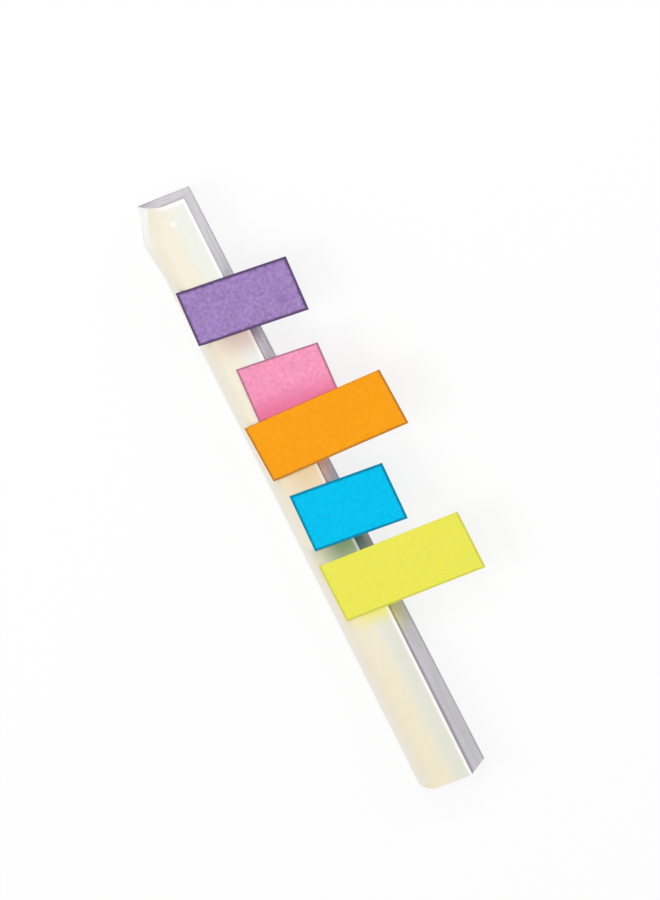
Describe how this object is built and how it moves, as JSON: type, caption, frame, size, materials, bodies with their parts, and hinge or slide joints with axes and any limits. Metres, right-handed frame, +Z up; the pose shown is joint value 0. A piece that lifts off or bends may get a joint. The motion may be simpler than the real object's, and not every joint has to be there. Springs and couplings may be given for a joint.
{
  "type": "sticky index tabs",
  "caption": "Flat rectangular sticky index tabs in bright colours, stuck in a row along the front edge of a narrow block of pages, for marking places.",
  "frame": {"origin": "middle of the flat base that the block of pages lies on", "axes": "+Y along the block towards its head, +X the way the tabs stick out past the front edge, +Z up"},
  "size_m": [0.0571, 0.216, 0.012],
  "materials": {
    "pages": "uncoated cream book paper, cut edges greyer",
    "purple_paper": "matte dyed paper with a fine mottled grain",
    "pink_paper": "matte dyed paper with a fine mottled grain",
    "orange_paper": "matte dyed paper with a fine mottled grain",
    "blue_paper": "matte dyed paper with a fine mottled grain",
    "yellow_paper": "matte dyed paper with a fine mottled grain"
  },
  "bodies": {
    "root": {"page_block": "pages", "tab_purple": "purple_paper", "tab_pink": "pink_paper", "tab_orange": "orange_paper", "tab_blue": "blue_paper", "tab_yellow": "yellow_paper"}
  },
  "joints": []
}
